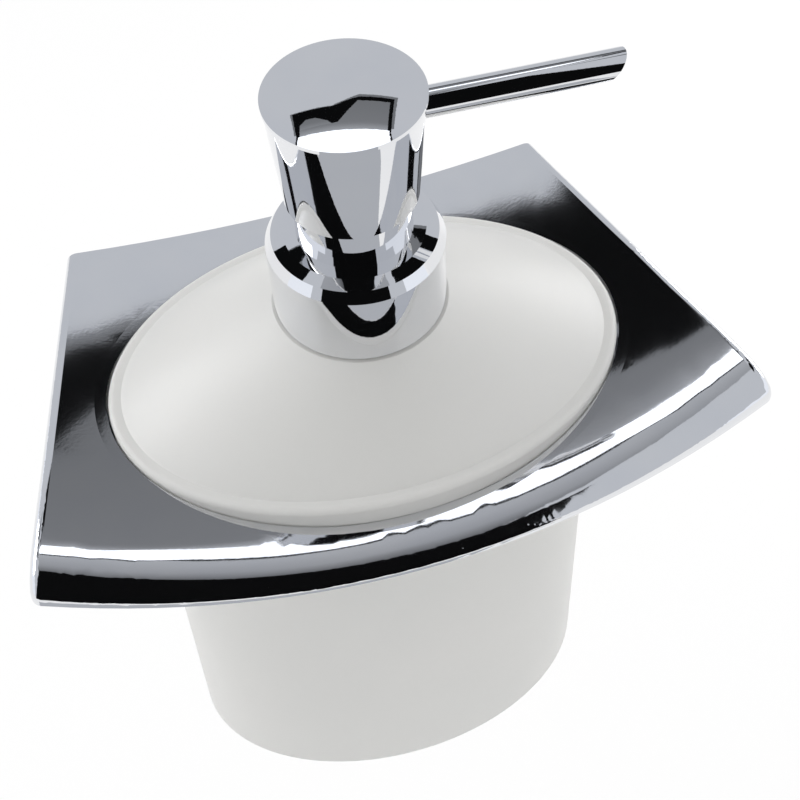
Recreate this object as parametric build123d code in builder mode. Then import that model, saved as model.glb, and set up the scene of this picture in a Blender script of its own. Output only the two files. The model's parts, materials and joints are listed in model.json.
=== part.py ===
"""Wall mounted soap dispenser: chrome holder plate, frosted glass container and a chrome press pump.

Millimetres. The origin is on the wall plane at the centre of the wall bracket. +Z is up, +X is to the
right and the front faces -Y. The pump axis stands parallel to Z in front of the wall.
"""
import math
import os

from build123d import *

os.makedirs("parts", exist_ok=True)

# Clearances
slip = 0.05          # pieces pressed or glued into each other
running = 0.08       # sliding and turning fits of the pump
loose = 0.4          # pieces of different moving groups beside each other
ledge_gap = 0.05     # resting faces

# Holder plate
axis_reach = 49.9    # wall to pump axis
front_reach = 100.6  # wall to the middle of the front edge
fan_depth = 218.9    # the two sides meet this far behind the wall
side_slope = 0.2611  # sideways run of the sides for each millimetre of depth
half_width = 80.0    # where the next three are measured, from the middle
front_sweep = 13.9   # how far the front edge falls back
top_rise = 7.7       # how far the top bends up
under_rise = 5.1     # how far the lower edge bends up
plate_top = 16.4     # top of the plate at the wall, in the middle
plate_fall = 0.02    # drop of the top for each millimetre away from the wall
roll_width = 12.0    # depth of the rolled front
plate_under = 10.5   # lower edge of the front in the middle
skirt = 0.9          # upright edge under the roll
plate_wall = 2.6
side_round = 2.2
ring_wall = 2.4      # wall of the ledge ring under the glass rim
ring_drop = 4.0      # depth of the ledge
apron_width = 60.0
apron_front = 9.5
apron_bottom = -17.0
pocket_gap = 0.25    # holder to wall bracket

# Glass container
rim_a = 56.3
rim_b = 39.7
rim_z = 20.0         # upper edge of the rim
seat_z = 14.5        # underside of the rim
rim_round = 1.3
body_a = 52.0
body_b = 35.9
foot_a = 52.4
foot_b = 33.9
foot_z = -113.2
foot_round = 4.2
glass_wall = 5.0
floor_thickness = 8.0
shoulder_r = 18.4
shoulder_z = 38.9
neck_r = 13.0
neck_bore = 9.5
neck_top = 53.4

# Wall bracket
bracket_width = 46.0
bracket_height = 22.0
bracket_depth = 5.0
bracket_hook = 3.0
bracket_hole_r = 2.25
bracket_hole_pitch = 28.0
screw_head_r = 4.3
grub_r = 2.0
grub_length = 6.0

# Collar and closure
collar_r = 18.0
collar_bottom_r = 17.9
collar_bottom = 39.4
collar_edge_z = 55.8
collar_top_r = 16.7
collar_top = 58.1
crown_z = 59.3
sleeve_r = 11.65
sleeve_wall = 1.1
sleeve_top = 71.8
shell_wall = 1.6
closure_bore = 9.2
closure_disc = 1.4

# Pump housing
gasket_thickness = 1.2
flange_r = 12.6
flange_thickness = 1.5
housing_r = 7.6
housing_bore = 6.4
housing_floor = 12.0
tail_r = 5.0
tail_bottom = -8.0
inlet_r = 3.0
inlet_seat_z = 6.5
inlet_hole_r = 1.6
inlet_cone = 1.6
tube_r = 3.0
tube_bore = 2.0
tube_bottom = -103.5
tube_top = 1.8
retainer_thickness = 1.2
inlet_ball_r = 2.4
chaplet_flange_r = 8.8
chaplet_flange = 1.3
chaplet_top = 60.6
chaplet_bottom = 46.5

# Head
head_bottom_r = 13.15
head_bottom = 68.85
head_top_r = 15.05
head_top = 91.85
head_wall = 1.1
cap_r = 15.3
cap_rim = 0.8
cap_rise = 2.0
core_top = head_top - 0.95
core_bottom = core_top - 9.4
core_tube_r = 6.0
core_tube_bottom = core_top - 17.9
chamber_r = 2.4
chamber_top = core_top - 2.0
outlet_ball_r = 1.75
spout_r = 2.98
spout_bore = 2.2
spout_z = core_top - 3.9
spout_rest = -3.0    # degrees that the spout is turned away from +X
spout_start = 5.2
spout_end_top = 53.4
spout_end_bottom = 49.2
channel_r = 1.4

# Plunger
stem_r = 3.92
stem_bore = 2.2
stem_bottom = 37.0
stem_top = core_top - 7.6
outlet_hole_r = 1.3
piston_bottom = 37.0
piston_top = 44.5
tip_bottom = 32.0
tip_r = 5.6
spring_r = 4.4
spring_wire = 0.9
spring_turns = 5

axis_point = (0, -axis_reach, 0)
pump_plane = Plane(origin=axis_point, x_dir=(1, 0, 0), z_dir=(0, -1, 0))
pump_axis = Axis(axis_point, (0, 0, 1))
fan_angle = math.atan(side_slope)
front_bow = front_sweep / half_width**2
top_bend = top_rise / half_width**2
under_bend = under_rise / half_width**2


def front_distance(angle):
    """Distance from the meeting point of the sides to the front edge, along a ray at this angle."""
    bend = front_bow * math.sin(angle) ** 2
    span = fan_depth + front_reach
    if bend < 1e-9:
        return span / math.cos(angle)
    return (math.sqrt(math.cos(angle) ** 2 + 4 * bend * span) - math.cos(angle)) / (2 * bend)


def ray_plane(angle):
    """Upright plane through the meeting point of the sides, its x along the ray and its y up."""
    ray = (math.sin(angle), -math.cos(angle), 0)
    return Plane(origin=(0, fan_depth, 0), x_dir=ray, z_dir=(-math.cos(angle), -math.sin(angle), 0))


def bend(angle, reach):
    """Height of the plate's top over its height at the wall, this far along a ray."""
    fall = plate_fall * (reach * math.cos(angle) - fan_depth)
    return top_bend * (reach * math.sin(angle)) ** 2 - fall


def plate_section(angle, inset, back, bottom):
    """Closed outline of the plate on one ray: flat bottom, upright back, gently bent top, rolled front."""
    front = front_distance(angle) - inset
    rear = (fan_depth + back) / math.cos(angle)
    width = roll_width - inset

    def height(reach):
        return plate_top - inset + bend(angle, reach)

    drop = height(front) - plate_under + inset - skirt - under_bend * (math.sin(angle) * front) ** 2
    reaches = [rear + (front - width - rear) * step / 4 for step in range(4)]
    points = [(reach, height(reach)) for reach in reaches]
    for step in range(7):
        turn = math.radians(15 * step)
        reach = front - width * (1 - math.sin(turn))
        points.append((reach, height(reach) - drop * (1 - math.cos(turn))))
    with BuildSketch(ray_plane(angle)) as outline:
        with BuildLine():
            Spline(*points, tangents=[(1, 0), (0, -1)], tangent_scalars=[1, 0.6])
            Polyline(points[-1], (front, bottom), (rear, bottom), points[0])
        make_face()
    return outline.sketch.faces()[0]


def plate_form(inset, back, bottom, angle):
    """Solid under the plate's top surface, from one side to the other."""
    with BuildPart() as form:
        loft([plate_section(angle * step / 4, inset, back, bottom) for step in range(-4, 5)])
    return form.part


def oval(a, b, z):
    """Oval face about the pump axis at height z."""
    with BuildSketch(Plane((0, -axis_reach, z))) as face:
        Ellipse(a, b)
    return face.sketch.faces()[0]


def oval_block(a, b, low, high):
    """Straight oval block about the pump axis."""
    with BuildPart() as block:
        add(extrude(oval(a, b, low), high - low))
    return block.part


def turned(*points):
    """Solid of revolution about the pump axis from (radius, height) corners."""
    with BuildPart() as body:
        with BuildSketch(pump_plane):
            with BuildLine():
                Polyline(*points, close=True)
            make_face()
        revolve(axis=pump_axis)
    return body.part


def save(part, name):
    part.label = name
    export_step(part, f"parts/{name}.step")


# Holder frame: bent hollow plate, ledge ring for the glass and an apron that hangs on the wall bracket
plate_low = apron_bottom - 2 * plate_wall
bend_r = 1 / (2 * under_bend)
ring_a = rim_a + loose
ring_b = rim_b + loose
ring_top = rim_z + rim_b
pocket_floor = -bracket_height / 2 - bracket_hook - 2 * pocket_gap
inner_angle = fan_angle - plate_wall / (fan_depth + axis_reach)
outer_form = plate_form(0, 0, plate_low, fan_angle)
inner_form = plate_form(plate_wall, apron_front, plate_low - plate_wall, inner_angle)
with BuildPart() as bent_slab:
    with Locations((0, -front_reach / 2, plate_under + bend_r)):
        Cylinder(bend_r, 2 * front_reach, rotation=(90, 0, 0))
with BuildPart() as ledge_ring:
    add(oval_block(ring_a + ring_wall, ring_b + ring_wall, seat_z - ring_drop, ring_top))
    add(outer_form, mode=Mode.INTERSECT)
with BuildPart() as holder_frame:
    add(outer_form)
    add(bent_slab.part, mode=Mode.INTERSECT)
    flat = holder_frame.faces().filter_by(GeomType.PLANE)
    sides = [f for f in flat if abs(f.center().X) > apron_width / 2]
    edges = [e for f in sides for e in f.edges() if e.geom_type == GeomType.BSPLINE]
    fillet([e for e in edges if (e @ 0.5).Y < -plate_wall], side_round)
    add(inner_form, mode=Mode.SUBTRACT)
    add(ledge_ring.part)
    with BuildSketch(Plane.XY.offset(apron_bottom)) as apron:
        with Locations((0, -apron_front / 2)):
            Rectangle(apron_width, apron_front)
        fillet(apron.vertices().group_by(Axis.Y)[0], side_round)
    extrude(amount=plate_top - plate_wall - apron_bottom)
    add(oval_block(ring_a, ring_b, seat_z - ledge_gap, ring_top), mode=Mode.SUBTRACT)
    add(oval_block(body_a + 2 * loose, body_b + 2 * loose, plate_low, rim_z), mode=Mode.SUBTRACT)
    with BuildSketch(Plane.YZ):
        with BuildLine():
            Polyline(
                (1, pocket_floor),
                (-bracket_depth - pocket_gap, pocket_floor),
                (-bracket_depth - pocket_gap, bracket_height / 2 + pocket_gap),
                (0, bracket_height / 2 + pocket_gap - bracket_hook),
                (1, bracket_height / 2 + pocket_gap - bracket_hook),
                close=True,
            )
        make_face()
    extrude(amount=bracket_width / 2 + pocket_gap, both=True, mode=Mode.SUBTRACT)
    with Locations((0, -bracket_depth / 2, apron_bottom)):
        Cylinder(grub_r + slip, 2 * grub_length, mode=Mode.SUBTRACT)
save(holder_frame.part, "holder_frame")

# Wall bracket: block with a hooked top edge and two countersunk holes
with BuildPart() as wall_bracket:
    with BuildSketch(Plane.YZ):
        with BuildLine():
            Polyline(
                (0, -bracket_height / 2),
                (-bracket_depth, -bracket_height / 2),
                (-bracket_depth, bracket_height / 2),
                (0, bracket_height / 2 - bracket_hook),
                close=True,
            )
        make_face()
    extrude(amount=bracket_width / 2, both=True)
    with Locations(Plane(origin=(0, -bracket_depth, 0), x_dir=(1, 0, 0), z_dir=(0, -1, 0))):
        with GridLocations(bracket_hole_pitch, 0, 2, 1):
            CounterSinkHole(bracket_hole_r, screw_head_r, counter_sink_angle=90)
save(wall_bracket.part, "wall_bracket")

# Set screw: grub screw with a hexagon socket, from below against the bracket
with BuildPart() as set_screw:
    with BuildSketch(Plane.XY.offset(-bracket_height / 2 - ledge_gap)):
        with Locations((0, -bracket_depth / 2)):
            Circle(grub_r)
    extrude(amount=-grub_length)
    chamfer(set_screw.edges().filter_by(GeomType.CIRCLE), 0.3)
    with BuildSketch(set_screw.faces().sort_by(Axis.Z)[0]):
        RegularPolygon(1.15, 6)
    extrude(amount=-2, mode=Mode.SUBTRACT)
save(set_screw.part, "set_screw")

# Glass container: tapered oval body, rim that rests on the ledge, domed shoulder and round neck
dome_steps = (0, 0.1, 0.24, 0.5, 0.78, 1)
dome_inside = shoulder_z - 3


def dome_oval(share, a, b, low, end_r, high):
    """Oval of the shoulder, from an oval a by b at share 0 to a circle at share 1."""
    lift = share**0.85
    return oval(a - (a - end_r) * share, b - (b - end_r) * lift, low + (high - low) * lift)


with BuildPart() as glass_container:
    loft([oval(foot_a, foot_b, foot_z), oval(body_a, body_b, seat_z + 1)])
    fillet(glass_container.edges().group_by(Axis.Z)[0], foot_round)
    add(oval_block(rim_a, rim_b, seat_z, rim_z))
    fillet(glass_container.edges().group_by(Axis.Z)[-1], rim_round)
    dome_a = rim_a - rim_round - 0.2
    dome_b = rim_b - rim_round - 0.2
    loft([dome_oval(share, dome_a, dome_b, rim_z - 1.2, shoulder_r, shoulder_z) for share in dome_steps])
    add(turned((0, shoulder_z - 1), (neck_r, shoulder_z - 1), (neck_r, neck_top), (0, neck_top)))
    in_a = body_a - glass_wall
    in_b = body_b - glass_wall
    with BuildPart(mode=Mode.SUBTRACT) as inside:
        loft(
            [
                oval(foot_a - glass_wall, foot_b - glass_wall, foot_z + floor_thickness),
                oval(in_a, in_b, seat_z - 2),
            ]
        )
        fillet(inside.edges().group_by(Axis.Z)[0], foot_round)
        loft([dome_oval(share, in_a, in_b, seat_z - 2, neck_bore, dome_inside) for share in dome_steps])
        add(
            turned(
                (0, dome_inside - 1),
                (neck_bore, dome_inside - 1),
                (neck_bore, neck_top + 1),
                (0, neck_top + 1),
            )
        )
save(glass_container.part, "glass_container")

# Collar shell: chamfered cylinder with a crowned top and a fixed sleeve that guides the head
closure_r = collar_bottom_r - shell_wall - slip
closure_top = collar_top - 0.4
ceiling = closure_top + slip
sleeve_bore = sleeve_r - sleeve_wall
collar_shell = turned(
    (collar_bottom_r - shell_wall, collar_bottom),
    (collar_bottom_r, collar_bottom),
    (collar_r, collar_edge_z),
    (collar_top_r, collar_top),
    (0.5 * (collar_top_r + sleeve_r), collar_top + 0.72 * (crown_z - collar_top)),
    (sleeve_r, crown_z),
    (sleeve_r, sleeve_top),
    (sleeve_bore, sleeve_top),
    (sleeve_bore, ceiling),
    (collar_bottom_r - shell_wall, ceiling),
)
save(collar_shell, "collar_shell")

# Closure cap: threaded cap inside the collar
closure_cap = turned(
    (neck_r + loose, collar_bottom + 0.7),
    (closure_r, collar_bottom + 0.7),
    (closure_r, closure_top),
    (closure_bore, closure_top),
    (closure_bore, closure_top - closure_disc),
    (neck_r + loose, closure_top - closure_disc),
)
save(closure_cap, "closure_cap")

# Neck gasket between the glass neck and the pump flange
gasket_low = neck_top + ledge_gap
flange_low = gasket_low + gasket_thickness
flange_top = flange_low + flange_thickness
neck_gasket = turned(
    (neck_bore, gasket_low), (flange_r, gasket_low), (flange_r, flange_low), (neck_bore, flange_low)
)
save(neck_gasket, "neck_gasket")

# Pump housing: flange, cylinder, valve seat and socket for the dip tube
seat_low = inlet_seat_z - inlet_cone
pump_housing = turned(
    (housing_bore, flange_top),
    (flange_r, flange_top),
    (flange_r, flange_low),
    (housing_r, flange_low),
    (housing_r, housing_floor - 1.5),
    (tail_r, housing_floor - 4.0),
    (tail_r, tail_bottom),
    (tube_r + slip, tail_bottom),
    (tube_r + slip, tube_top + slip),
    (inlet_hole_r, tube_top + slip),
    (inlet_hole_r, seat_low),
    (inlet_r, inlet_seat_z),
    (inlet_r, housing_floor),
    (housing_bore, housing_floor),
)
save(pump_housing, "pump_housing")

# Chaplet: guide that closes the housing around the stem
chaplet = turned(
    (stem_r + running, chaplet_bottom),
    (housing_bore - slip, chaplet_bottom),
    (housing_bore - slip, flange_top),
    (chaplet_flange_r, flange_top),
    (chaplet_flange_r, flange_top + chaplet_flange),
    (stem_r + 1.8, flange_top + chaplet_flange),
    (stem_r + 1.5, chaplet_top),
    (stem_r + running, chaplet_top),
)
save(chaplet, "chaplet")

# Ball retainer: slotted washer under the spring
retainer_top = housing_floor + retainer_thickness
with BuildPart() as ball_retainer:
    add(
        turned(
            (1.1, housing_floor),
            (housing_bore - slip, housing_floor),
            (housing_bore - slip, retainer_top),
            (1.1, retainer_top),
        )
    )
    with BuildSketch(Plane((0, -axis_reach, housing_floor))):
        with PolarLocations(2.1, 3):
            SlotOverall(2.4, 1.0, rotation=90)
    extrude(amount=retainer_thickness, mode=Mode.SUBTRACT)
save(ball_retainer.part, "ball_retainer")

# Inlet ball resting on the cone of the housing
cone_tilt = math.atan2(inlet_cone, inlet_r - inlet_hole_r)
inlet_ball_z = seat_low + (inlet_ball_r + 0.15 - inlet_hole_r * math.sin(cone_tilt)) / math.cos(cone_tilt)
with BuildPart() as inlet_ball:
    with Locations((0, -axis_reach, inlet_ball_z)):
        Sphere(inlet_ball_r)
save(inlet_ball.part, "inlet_ball")

# Dip tube with a slanted lower end
with BuildPart() as dip_tube:
    add(turned((tube_bore, tube_bottom), (tube_r, tube_bottom), (tube_r, tube_top), (tube_bore, tube_top)))
    with BuildSketch(Plane.YZ.offset(-tube_r - 1)):
        with BuildLine():
            Polyline(
                (-axis_reach - tube_r, tube_bottom - 1),
                (-axis_reach + tube_r, tube_bottom - 1),
                (-axis_reach + tube_r, tube_bottom + 2 * tube_r),
                (-axis_reach - tube_r, tube_bottom),
                close=True,
            )
        make_face()
    extrude(amount=2 * tube_r + 2, mode=Mode.SUBTRACT)
save(dip_tube.part, "dip_tube")

# Piston with two sealing lips
piston_r = housing_bore - slip
piston = turned(
    (stem_r + slip, piston_bottom),
    (piston_r - 0.9, piston_bottom),
    (piston_r, piston_bottom + 0.8),
    (piston_r, piston_bottom + 2.0),
    (piston_r - 0.9, piston_bottom + 2.8),
    (piston_r - 0.9, piston_top - 2.8),
    (piston_r, piston_top - 2.0),
    (piston_r, piston_top - 0.8),
    (piston_r - 0.9, piston_top),
    (stem_r + slip, piston_top),
)
save(piston, "piston")

# Stem tip: hollow plug that carries the piston and takes the spring
stem_tip = turned(
    (1.2, tip_bottom),
    (spring_r - spring_wire, tip_bottom),
    (spring_r - spring_wire, tip_bottom + 2),
    (tip_r, tip_bottom + 2),
    (tip_r, piston_bottom),
    (stem_bore - slip, piston_bottom),
    (stem_bore - slip, piston_bottom + 4),
    (1.2, piston_bottom + 4),
)
save(stem_tip, "stem_tip")

# Return spring between the retainer and the stem tip
coil_low = retainer_top + spring_wire / 2 + slip
coil_high = tip_bottom + 2 - spring_wire / 2 - slip
half_rise = (coil_high - coil_low) / (2 * spring_turns)
with BuildPart() as return_spring:
    with BuildLine() as coil:
        for half in range(2 * spring_turns):
            side = 1 if half % 2 == 0 else -1
            low = coil_low + half * half_rise
            ThreePointArc(
                (side * spring_r, -axis_reach, low),
                (0, -axis_reach + side * math.hypot(spring_r, half_rise / 2), low + half_rise / 2),
                (-side * spring_r, -axis_reach, low + half_rise),
            )
    with BuildSketch(Plane(origin=coil.wire() @ 0, z_dir=coil.wire() % 0)):
        Circle(spring_wire / 2)
    sweep(path=coil.wire())
save(return_spring.part, "return_spring")

# Pump stem: hollow rod with a narrowed outlet at the top
pump_stem = turned(
    (stem_bore, stem_bottom),
    (stem_r, stem_bottom),
    (stem_r, stem_top),
    (outlet_hole_r, stem_top),
    (outlet_hole_r, stem_top - 1.5),
    (stem_bore, stem_top - 2.5),
)
save(pump_stem, "pump_stem")

# Head shell: open cone with a hole for the spout
flare = (head_top_r - head_bottom_r) / (head_top - head_bottom)


def shell_inside(z):
    """Inner radius of the head shell at height z."""
    return head_bottom_r - head_wall + flare * (z - head_bottom)


spout_root = (0, -axis_reach, spout_z)
spout_way = (math.cos(math.radians(spout_rest)), math.sin(math.radians(spout_rest)), 0)
spout_plane = Plane(origin=spout_root, x_dir=(0, 0, 1), z_dir=spout_way)
spout_side = Plane(origin=spout_root, x_dir=spout_way, z_dir=(spout_way[1], -spout_way[0], 0))
with BuildPart() as head_shell:
    add(
        turned(
            (shell_inside(head_bottom), head_bottom),
            (head_bottom_r, head_bottom),
            (head_top_r, head_top),
            (shell_inside(head_top), head_top),
        )
    )
    with BuildSketch(spout_plane):
        Circle(spout_r + slip)
    extrude(amount=2 * head_top_r, mode=Mode.SUBTRACT)
save(head_shell.part, "head_shell")

# Dome cap with a spigot inside the shell
cap_edge = head_top + cap_rim
cap_crown = cap_edge + cap_rise
dome_r = (cap_r**2 + cap_rise**2) / (2 * cap_rise)
spigot_r = shell_inside(head_top) - 2 * slip
with BuildPart() as dome_cap:
    with BuildSketch(pump_plane):
        with BuildLine():
            Polyline(
                (0, cap_crown),
                (0, head_top - 0.6),
                (spigot_r, head_top - 0.6),
                (spigot_r, head_top),
                (cap_r, head_top),
                (cap_r, cap_edge),
            )
            ThreePointArc(
                (cap_r, cap_edge),
                (cap_r / 2, cap_crown - dome_r + math.sqrt(dome_r**2 - cap_r**2 / 4)),
                (0, cap_crown),
            )
        make_face()
    revolve(axis=pump_axis)
save(dome_cap.part, "dome_cap")

# Head core: plastic body with the stem socket, the ball chamber and the spout socket
with BuildPart() as head_core:
    add(
        turned(
            (stem_r + slip, core_tube_bottom),
            (core_tube_r, core_tube_bottom),
            (core_tube_r, core_bottom),
            (shell_inside(core_bottom) - slip, core_bottom),
            (shell_inside(core_top) - slip, core_top),
            (0, core_top),
            (0, chamber_top),
            (chamber_r, chamber_top),
            (chamber_r, stem_top + slip),
            (stem_r + slip, stem_top + slip),
        )
    )
    with BuildSketch(spout_plane.offset(spout_start - slip)):
        Circle(spout_r + slip)
    extrude(amount=head_top_r, mode=Mode.SUBTRACT)
    with BuildSketch(spout_plane):
        Circle(channel_r)
    extrude(amount=spout_start, mode=Mode.SUBTRACT)
save(head_core.part, "head_core")

# Spout tube with an oblique end, longer at the top
with BuildPart() as spout_tube:
    with BuildSketch(spout_plane.offset(spout_start)):
        Circle(spout_r)
        Circle(spout_bore, mode=Mode.SUBTRACT)
    extrude(amount=spout_end_top - spout_start)
    with BuildSketch(spout_side):
        with BuildLine():
            Polyline(
                (spout_end_top, spout_r),
                (spout_end_bottom, -spout_r),
                (spout_end_bottom, -2 * spout_r),
                (spout_end_top + 2, -2 * spout_r),
                (spout_end_top + 2, spout_r),
                close=True,
            )
        make_face()
    extrude(amount=2 * spout_r, both=True, mode=Mode.SUBTRACT)
save(spout_tube.part, "spout_tube")

# Outlet ball above the stem
outlet_ball_z = stem_top + math.sqrt((outlet_ball_r + 0.1) ** 2 - outlet_hole_r**2)
with BuildPart() as outlet_ball:
    with Locations((0, -axis_reach, outlet_ball_z)):
        Sphere(outlet_ball_r)
save(outlet_ball.part, "outlet_ball")
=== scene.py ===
"""Looks of the wall mounted soap dispenser: materials, screw threads, spring, studio and camera.

Metres, in the CAD frame: the wall is the plane Y = 0, the front faces -Y and +Z is up.
"""
import json
import math

import bpy
from mathutils import Matrix, Vector


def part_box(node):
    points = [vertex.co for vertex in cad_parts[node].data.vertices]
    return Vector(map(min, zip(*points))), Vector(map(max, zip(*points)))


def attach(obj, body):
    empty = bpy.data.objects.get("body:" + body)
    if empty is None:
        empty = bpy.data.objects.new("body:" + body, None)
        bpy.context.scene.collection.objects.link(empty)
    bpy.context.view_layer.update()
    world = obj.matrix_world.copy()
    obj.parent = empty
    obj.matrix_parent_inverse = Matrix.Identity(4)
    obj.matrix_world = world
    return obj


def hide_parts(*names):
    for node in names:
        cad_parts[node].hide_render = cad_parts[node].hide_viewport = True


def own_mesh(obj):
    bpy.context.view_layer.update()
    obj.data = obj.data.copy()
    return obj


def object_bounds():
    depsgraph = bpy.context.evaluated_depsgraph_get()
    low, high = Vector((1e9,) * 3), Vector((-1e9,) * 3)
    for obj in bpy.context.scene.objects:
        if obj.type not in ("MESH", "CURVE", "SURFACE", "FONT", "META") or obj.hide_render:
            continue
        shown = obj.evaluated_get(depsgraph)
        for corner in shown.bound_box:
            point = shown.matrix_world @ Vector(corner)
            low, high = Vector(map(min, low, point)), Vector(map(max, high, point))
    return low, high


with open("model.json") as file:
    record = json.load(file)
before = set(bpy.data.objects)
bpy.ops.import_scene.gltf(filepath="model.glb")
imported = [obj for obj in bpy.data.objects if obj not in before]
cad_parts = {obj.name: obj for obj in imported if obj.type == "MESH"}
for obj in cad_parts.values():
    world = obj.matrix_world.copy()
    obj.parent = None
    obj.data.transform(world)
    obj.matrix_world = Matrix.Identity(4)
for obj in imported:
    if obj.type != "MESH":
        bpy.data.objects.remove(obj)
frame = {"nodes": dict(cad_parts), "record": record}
cad_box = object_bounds()
mm = 0.001

# Photograph's camera, fitted to the outlines of the plate, the glass and the pump
camera_place = Vector((-46.7, -255.0, 274.4)) * mm
camera_right = Vector((0.953924, -0.297956, -0.035378))
camera_up = Vector((0.256725, 0.749463, 0.610244))
camera_back = camera_right.cross(camera_up)
camera_lens = 68.53
sensor_width = 36.0
clip_start = 0.01

# Places on the part
axis_y = (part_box("collar_shell")[0].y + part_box("collar_shell")[1].y) / 2
plate_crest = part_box("holder_frame")[1].z

# Chrome: the plate is softer than the pump, and the change lies just above the plate
plate_roughness = 0.045
pump_roughness = 0.02
polish_rise = 5 * mm

# Noise lies mostly between these values
noise_low = 0.3
noise_high = 0.7

# Screw threads on the glass neck and in the closure cap's bore, whose radii are those of the solids
neck_r = 13.0 * mm
cap_bore_r = 13.4 * mm
thread_pitch = 4.0 * mm
thread_turns = 2.0
thread_height = 0.3 * mm
thread_overlap = 0.05 * mm
thread_inset = 3.0 * mm
thread_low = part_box("closure_cap")[0].z + thread_inset
turn_steps = 48
fade_steps = 12

# Cross-section of the ridge: millimetres along the axis, and share of the thread's height
thread_profile = ((-0.75, 0.0), (-0.3, 1.0), (0.3, 1.0), (0.75, 0.0))

# Studio cards, seen only in reflections. Each one is bent around a level line that crosses the view at
# the pump axis. A card has a radius and rows. A row is an angle in degrees, from the far horizon over the
# top to the near one, the card's left and right ends as shares of the radius, and its brightness.
black = 0.004
cards = {
    # Grey walls ahead, overhead and behind the camera, and white ones at the sides
    "walls": (10.0, ((-60, -1.3, 1.3, 0.64), (205, -1.3, 1.3, 0.64))),
    "left_wall": (10.5, ((-60, -8.0, -1.0, 1.05), (205, -8.0, -1.0, 1.05))),
    "right_wall": (10.5, ((-60, 1.0, 8.0, 1.05), (205, 1.0, 8.0, 1.05))),
    # Dark room on the camera's side, with paper below it
    "dark_room": (0.9, ((97, -0.33, 0.30, black), (150, -0.75, 0.62, black), (196, -1.0, 0.75, black))),
    "front_paper": (0.33, ((205, -0.6, 0.7, 0.52), (250, -0.6, 0.7, 0.52))),
    # Black flags at the left and right
    "left_flag": (8.5, ((50, -0.72, -0.50, black), (65, -0.66, -0.46, black), (75, -0.50, -0.34, black))),
    "right_flag": (8.5, ((49, 0.45, 0.68, black), (65, 0.42, 0.66, black), (83, 0.25, 0.48, black))),
    # Black frame with a grey edge, in front of it the dim softbox and the bright tube, and the ceiling above
    "frame_edge": (
        9.0,
        (
            (46.2, 0.05, 0.24, 0.20),
            (51.0, -0.08, 0.24, 0.20),
            (51.2, -0.30, 0.24, 0.20),
            (62, -0.30, 0.24, 0.20),
        ),
    ),
    "frame": (
        8.5,
        (
            (47.3, 0.05, 0.225, black),
            (51.3, -0.08, 0.225, black),
            (51.5, -0.29, 0.225, black),
            (75.5, -0.29, 0.225, black),
        ),
    ),
    "softbox": (
        8.0,
        (
            (49.4, 0.045, 0.205, 0.20),
            (59.4, -0.06, 0.205, 0.23),
            (60.2, -0.26, 0.205, 0.25),
            (63, -0.27, 0.205, 0.42),
        ),
    ),
    "softbox_left": (8.1, ((55.8, -0.22, -0.17, 0.20), (58, -0.26, -0.11, 0.22), (63, -0.27, -0.05, 0.42))),
    "tube": (8.0, ((63, -0.28, 0.215, 1.7), (72, -0.28, 0.215, 1.7))),
    "ceiling": (8.0, ((73.2, -0.30, 0.22, 0.50), (85, -0.30, 0.22, 0.38), (97, -0.30, 0.22, 0.12))),
}
card_colour = (0.91, 0.94, 1.0, 1.0)
card_step = 3

# Floor below the part, lamps at both sides and the light of the white surroundings
floor_drop = 0.16
floor_reach = 8.0
floor_glow = 0.8
lamp_distance = 0.9
lamp_size = (0.5, 0.35)
lamp_power = 2.4
sky_light = 0.8
sky_seen = 1.0
white = (1.0, 1.0, 1.0, 1.0)


# Node helpers
def start_material(name, colour, roughness, metallic=0.0):
    """New material with a Principled shader, and its nodes and links.

    Colour and roughness are the plain values, for a reader that doesn't follow the nodes linked to them.
    """
    material = bpy.data.materials.new(name)
    material.use_nodes = True
    nodes = material.node_tree.nodes
    shader = nodes["Principled BSDF"]
    shader.inputs["Base Color"].default_value = (*colour, 1.0)
    shader.inputs["Roughness"].default_value = roughness
    shader.inputs["Metallic"].default_value = metallic
    return material, nodes, material.node_tree.links, shader


def add_noise(nodes, links, scale, detail=3.0, stretch=(1.0, 1.0, 1.0)):
    """Noise in object space, stretched along the axes; gives its factor socket."""
    place = nodes.new("ShaderNodeTexCoord")
    mapping = nodes.new("ShaderNodeMapping")
    mapping.inputs["Scale"].default_value = stretch
    noise = nodes.new("ShaderNodeTexNoise")
    noise.inputs["Scale"].default_value = scale
    noise.inputs["Detail"].default_value = detail
    links.new(place.outputs["Object"], mapping.inputs["Vector"])
    links.new(mapping.outputs["Vector"], noise.inputs["Vector"])
    return noise.outputs["Fac"]


def spread(nodes, links, factor, target, low, high):
    """Feed the target socket with a value from low to high, as the factor goes over the noise's range."""
    remap = nodes.new("ShaderNodeMapRange")
    remap.inputs["From Min"].default_value = noise_low
    remap.inputs["From Max"].default_value = noise_high
    remap.inputs["To Min"].default_value = low
    remap.inputs["To Max"].default_value = high
    links.new(factor, remap.inputs["Value"])
    links.new(remap.outputs["Result"], target)


def tint(nodes, links, factor, target, dark, light):
    """Feed the target socket with a colour from dark to light, as the factor goes over the noise's range."""
    ramp = nodes.new("ShaderNodeValToRGB")
    ramp.color_ramp.elements[0].position = noise_low
    ramp.color_ramp.elements[0].color = (*dark, 1.0)
    ramp.color_ramp.elements[1].position = noise_high
    ramp.color_ramp.elements[1].color = (*light, 1.0)
    links.new(factor, ramp.inputs["Fac"])
    links.new(ramp.outputs["Color"], target)


def emboss(nodes, links, shader, height, strength, depth):
    """Bump of this depth from a height socket."""
    bump = nodes.new("ShaderNodeBump")
    bump.inputs["Strength"].default_value = strength
    bump.inputs["Distance"].default_value = depth
    links.new(height, bump.inputs["Height"])
    links.new(bump.outputs["Normal"], shader.inputs["Normal"])


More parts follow.
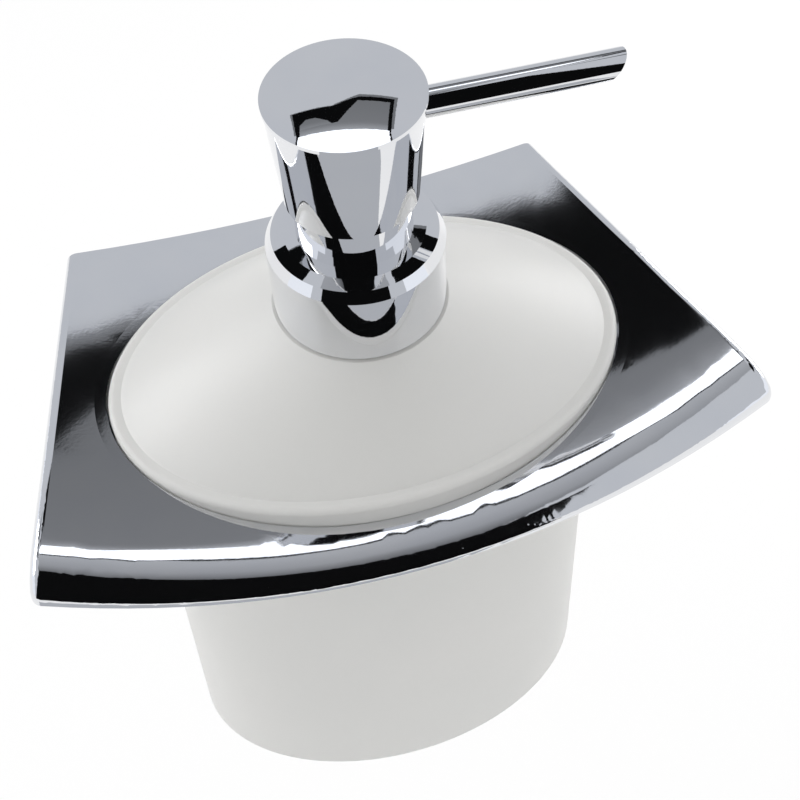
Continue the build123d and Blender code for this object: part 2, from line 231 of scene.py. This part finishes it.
# Materials
def chrome():
    """Polished chrome with the slight waviness of a plated part; the cast plate is softer than the pump."""
    material, nodes, links, shader = start_material("chrome", (0.80, 0.81, 0.83), 0.03, metallic=1.0)
    place = nodes.new("ShaderNodeTexCoord")
    split = nodes.new("ShaderNodeSeparateXYZ")
    polish = nodes.new("ShaderNodeMapRange")
    polish.inputs["From Min"].default_value = plate_crest
    polish.inputs["From Max"].default_value = plate_crest + polish_rise
    polish.inputs["To Min"].default_value = plate_roughness
    polish.inputs["To Max"].default_value = pump_roughness
    links.new(place.outputs["Object"], split.inputs["Vector"])
    links.new(split.outputs["Z"], polish.inputs["Value"])
    links.new(polish.outputs["Result"], shader.inputs["Roughness"])
    haze = add_noise(nodes, links, scale=90.0)
    colour = shader.inputs["Base Color"]
    tint(nodes, links, haze, colour, dark=(0.79, 0.80, 0.825), light=(0.82, 0.825, 0.84))
    wave = add_noise(nodes, links, scale=1400.0, detail=1.0)
    emboss(nodes, links, shader, wave, strength=0.05, depth=0.02 * mm)
    return material


def frosted_glass():
    """Acid-frosted glass: milky, satin and a little translucent."""
    material, nodes, links, shader = start_material("frosted_glass", (0.86, 0.88, 0.87), 0.4)
    shader.inputs["Transmission Weight"].default_value = 0.3
    shader.inputs["IOR"].default_value = 1.5
    cloud = add_noise(nodes, links, scale=25.0)
    colour = shader.inputs["Base Color"]
    tint(nodes, links, cloud, colour, dark=(0.885, 0.885, 0.865), light=(0.905, 0.90, 0.88))
    grain = add_noise(nodes, links, scale=2600.0, detail=2.0)
    spread(nodes, links, grain, shader.inputs["Roughness"], low=0.36, high=0.46)
    emboss(nodes, links, shader, grain, strength=0.12, depth=0.04 * mm)
    return material


def bracket_metal():
    """Zinc plated steel with a drawn grain along X."""
    material, nodes, links, shader = start_material("bracket_metal", (0.62, 0.63, 0.65), 0.35, metallic=1.0)
    grain = add_noise(nodes, links, scale=700.0, detail=4.0, stretch=(0.06, 1.0, 1.0))
    colour = shader.inputs["Base Color"]
    tint(nodes, links, grain, colour, dark=(0.56, 0.57, 0.58), light=(0.68, 0.69, 0.71))
    spread(nodes, links, grain, shader.inputs["Roughness"], low=0.28, high=0.44)
    return material


def screw_steel():
    """Dark plain steel with machining marks."""
    material, nodes, links, shader = start_material("screw_steel", (0.36, 0.36, 0.38), 0.4, metallic=1.0)
    grain = add_noise(nodes, links, scale=2200.0, stretch=(1.0, 1.0, 0.1))
    colour = shader.inputs["Base Color"]
    tint(nodes, links, grain, colour, dark=(0.30, 0.30, 0.32), light=(0.42, 0.42, 0.44))
    spread(nodes, links, grain, shader.inputs["Roughness"], low=0.32, high=0.5)
    return material


def steel():
    """Bright stainless wire and balls."""
    material, nodes, links, shader = start_material("steel", (0.60, 0.61, 0.63), 0.18, metallic=1.0)
    grain = add_noise(nodes, links, scale=1800.0)
    colour = shader.inputs["Base Color"]
    tint(nodes, links, grain, colour, dark=(0.56, 0.57, 0.59), light=(0.65, 0.66, 0.68))
    spread(nodes, links, grain, shader.inputs["Roughness"], low=0.12, high=0.24)
    return material


def white_plastic():
    """Moulded white plastic with a fine sheen."""
    material, nodes, links, shader = start_material("white_plastic", (0.88, 0.88, 0.87), 0.3)
    grain = add_noise(nodes, links, scale=600.0)
    colour = shader.inputs["Base Color"]
    tint(nodes, links, grain, colour, dark=(0.86, 0.86, 0.845), light=(0.90, 0.90, 0.89))
    spread(nodes, links, grain, shader.inputs["Roughness"], low=0.26, high=0.36)
    emboss(nodes, links, shader, grain, strength=0.05, depth=0.05 * mm)
    return material


def natural_plastic():
    """Undyed polypropylene: pale, waxy and translucent."""
    material, nodes, links, shader = start_material("natural_plastic", (0.84, 0.85, 0.82), 0.4)
    shader.inputs["Transmission Weight"].default_value = 0.4
    shader.inputs["IOR"].default_value = 1.49
    cloud = add_noise(nodes, links, scale=300.0)
    colour = shader.inputs["Base Color"]
    tint(nodes, links, cloud, colour, dark=(0.82, 0.83, 0.80), light=(0.87, 0.88, 0.86))
    spread(nodes, links, cloud, shader.inputs["Roughness"], low=0.34, high=0.46)
    return material


def gasket_rubber():
    """Matt grey rubber."""
    material, nodes, links, shader = start_material("gasket_rubber", (0.28, 0.28, 0.29), 0.75)
    grain = add_noise(nodes, links, scale=900.0)
    colour = shader.inputs["Base Color"]
    tint(nodes, links, grain, colour, dark=(0.25, 0.25, 0.26), light=(0.32, 0.32, 0.33))
    spread(nodes, links, grain, shader.inputs["Roughness"], low=0.66, high=0.84)
    emboss(nodes, links, shader, grain, strength=0.2, depth=0.1 * mm)
    return material


finishes = {
    make.__name__: make()
    for make in (
        chrome,
        frosted_glass,
        bracket_metal,
        screw_steel,
        steel,
        white_plastic,
        natural_plastic,
        gasket_rubber,
    )
}
for subpart in frame["record"]["subparts"]:
    piece = frame["nodes"][subpart["node"]]
    piece.data.materials.clear()
    piece.data.materials.append(finishes[subpart["material_slot"]])


# Screw threads of the glass neck and of the closure cap
def add_mesh(name, points, faces, material):
    """Mesh object of one material, in the scene."""
    mesh = bpy.data.meshes.new(name)
    mesh.from_pydata(points, [], faces)
    mesh.materials.append(material)
    piece = bpy.data.objects.new(name, mesh)
    bpy.context.scene.collection.objects.link(piece)
    return piece


def thread(name, root, crest, phase, finish):
    """Helical ridge from the root radius to the crest radius, fading out at both ends."""
    steps = int(turn_steps * thread_turns)
    ring = len(thread_profile)
    points = []
    faces = []
    for step in range(steps + 1):
        turn = 2 * math.pi * step / turn_steps + phase
        fade = min(1.0, step / fade_steps, (steps - step) / fade_steps)
        for along, share in thread_profile:
            radius = root + (crest - root) * share * fade
            height = thread_low + thread_pitch * step / turn_steps + along * mm
            points.append((radius * math.cos(turn), axis_y + radius * math.sin(turn), height))
    for start in range(0, steps * ring, ring):
        for i in range(start, start + ring - 1):
            faces.append((i, i + 1, i + ring + 1, i + ring))
    ridge = add_mesh(name, points, faces, finishes[finish])
    ridge.data.shade_smooth()
    return ridge


neck_thread = thread(
    "neck_thread",
    root=neck_r - thread_overlap,
    crest=neck_r + thread_height,
    phase=0.0,
    finish="frosted_glass",
)
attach(neck_thread, "container")
cap_thread = thread(
    "cap_thread",
    root=cap_bore_r + thread_overlap,
    crest=cap_bore_r - thread_height,
    phase=math.pi,
    finish="white_plastic",
)
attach(cap_thread, "closure")

# Return spring, which in the real pump shortens as it is pressed: here a copy of the CAD coil with its own
# mesh, carried by the pump unit
rest_spring = frame["nodes"]["return_spring"]
spring_coil = bpy.data.objects.new("spring_coil", rest_spring.data.copy())
spring_coil.matrix_world = rest_spring.matrix_world.copy()
bpy.context.scene.collection.objects.link(spring_coil)
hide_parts("return_spring")
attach(spring_coil, "pump_unit")
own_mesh(spring_coil)


# Studio
def seen_rays(nodes, links):
    """Socket that is 1 for rays from the camera, off a glossy surface or through glass, and 0 for others."""
    rays = nodes.new("ShaderNodeLightPath")
    either = nodes.new("ShaderNodeMath")
    either.operation = "MAXIMUM"
    any_of_three = nodes.new("ShaderNodeMath")
    any_of_three.operation = "MAXIMUM"
    links.new(rays.outputs["Is Camera Ray"], either.inputs[0])
    links.new(rays.outputs["Is Glossy Ray"], either.inputs[1])
    links.new(either.outputs[0], any_of_three.inputs[0])
    links.new(rays.outputs["Is Transmission Ray"], any_of_three.inputs[1])
    return any_of_three.outputs[0]


def floor_material():
    """Floor that shows mostly an even white, and keeps the shadow of the part."""
    material, nodes, links, shader = start_material("floor", (0.93, 0.93, 0.93), 0.8)
    shader.inputs["Specular IOR Level"].default_value = 0.1
    glow = nodes.new("ShaderNodeEmission")
    mix = nodes.new("ShaderNodeMixShader")
    spread(nodes, links, seen_rays(nodes, links), mix.inputs["Fac"], low=0.0, high=floor_glow)
    links.new(shader.outputs["BSDF"], mix.inputs[1])
    links.new(glow.outputs["Emission"], mix.inputs[2])
    links.new(mix.outputs["Shader"], nodes["Material Output"].inputs["Surface"])
    return material


def card_material():
    """Paper and softboxes of the studio: each card glows by its own level."""
    material = bpy.data.materials.new("card")
    material.use_nodes = True
    nodes = material.node_tree.nodes
    nodes.clear()
    level = nodes.new("ShaderNodeAttribute")
    level.attribute_name = "level"
    glow = nodes.new("ShaderNodeEmission")
    glow.inputs["Color"].default_value = card_colour
    output = nodes.new("ShaderNodeOutputMaterial")
    material.node_tree.links.new(level.outputs["Fac"], glow.inputs["Strength"])
    material.node_tree.links.new(glow.outputs["Emission"], output.inputs["Surface"])
    return material


def card(name, radius, rows, material):
    """Card of the studio, in strips of about card_step degrees between its rows."""
    upright = Vector((0.0, 0.0, 1.0))
    sight = Vector((-camera_back.x, -camera_back.y, 0.0)).normalized()
    across = sight.cross(upright)
    middle = Vector((0.0, axis_y, 0.0))
    points = []
    levels = []
    for row, next_row in zip(rows, rows[1:]):
        count = max(1, round((next_row[0] - row[0]) / card_step))
        for step in range(count + 1):
            angle, left, right, level = (a + (b - a) * step / count for a, b in zip(row, next_row))
            turn = math.radians(angle)
            spot = middle + radius * (math.cos(turn) * sight + math.sin(turn) * upright)
            points += [spot + radius * left * across, spot + radius * right * across]
            levels += [level, level]
    faces = [(i, i + 1, i + 3, i + 2) for i in range(0, len(points) - 2, 2)]
    sheet = add_mesh(name, points, faces, material)
    sheet.data.attributes.new("level", "FLOAT", "POINT").data.foreach_set("value", levels)
    sheet.visible_camera = False
    sheet.visible_diffuse = False
    sheet.visible_shadow = False
    sheet.visible_transmission = False


def lamp(name, azimuth, elevation):
    """Area lamp that looks at the middle of the part; azimuth in degrees from the wall's side towards +X."""
    turn = math.radians(azimuth)
    tilt = math.radians(elevation)
    way = Vector((math.sin(turn) * math.cos(tilt), math.cos(turn) * math.cos(tilt), math.sin(tilt)))
    light = bpy.data.lights.new(name, "AREA")
    light.shape = "RECTANGLE"
    light.size = lamp_size[0]
    light.size_y = lamp_size[1]
    light.energy = lamp_power
    source = bpy.data.objects.new(name, light)
    source.location = (cad_box[0] + cad_box[1]) / 2 + way * lamp_distance
    source.rotation_mode = "QUATERNION"
    source.rotation_quaternion = way.to_track_quat("Z", "Y")
    bpy.context.scene.collection.objects.link(source)


floor_z = cad_box[0].z - floor_drop
corner_sides = ((-1, -1), (1, -1), (1, 1), (-1, 1))
corners = [(x * floor_reach, y * floor_reach, floor_z) for x, y in corner_sides]
floor = add_mesh("floor", corners, [(0, 1, 2, 3)], floor_material())
paper = card_material()
for name, (radius, rows) in cards.items():
    card(name, radius, rows, paper)
lamp("left_softbox", azimuth=-60, elevation=30)
lamp("right_softbox", azimuth=62, elevation=12)

world = bpy.data.worlds.new("studio")
bpy.context.scene.world = world
world.use_nodes = True
sky_nodes = world.node_tree.nodes
sky_links = world.node_tree.links
background = sky_nodes["Background"]
background.inputs["Color"].default_value = white
sky_level = background.inputs["Strength"]
spread(sky_nodes, sky_links, seen_rays(sky_nodes, sky_links), sky_level, low=sky_light, high=sky_seen)

# Camera
camera = bpy.data.objects.new("camera", bpy.data.cameras.new("camera"))
camera.data.lens = camera_lens
camera.data.sensor_width = sensor_width
camera.data.clip_start = clip_start
camera_turn = Matrix((camera_right, camera_up, camera_back)).transposed().to_4x4()
camera.matrix_world = Matrix.Translation(camera_place) @ camera_turn
bpy.context.scene.collection.objects.link(camera)
bpy.context.scene.camera = camera
bpy.context.scene.view_settings.view_transform = "Standard"
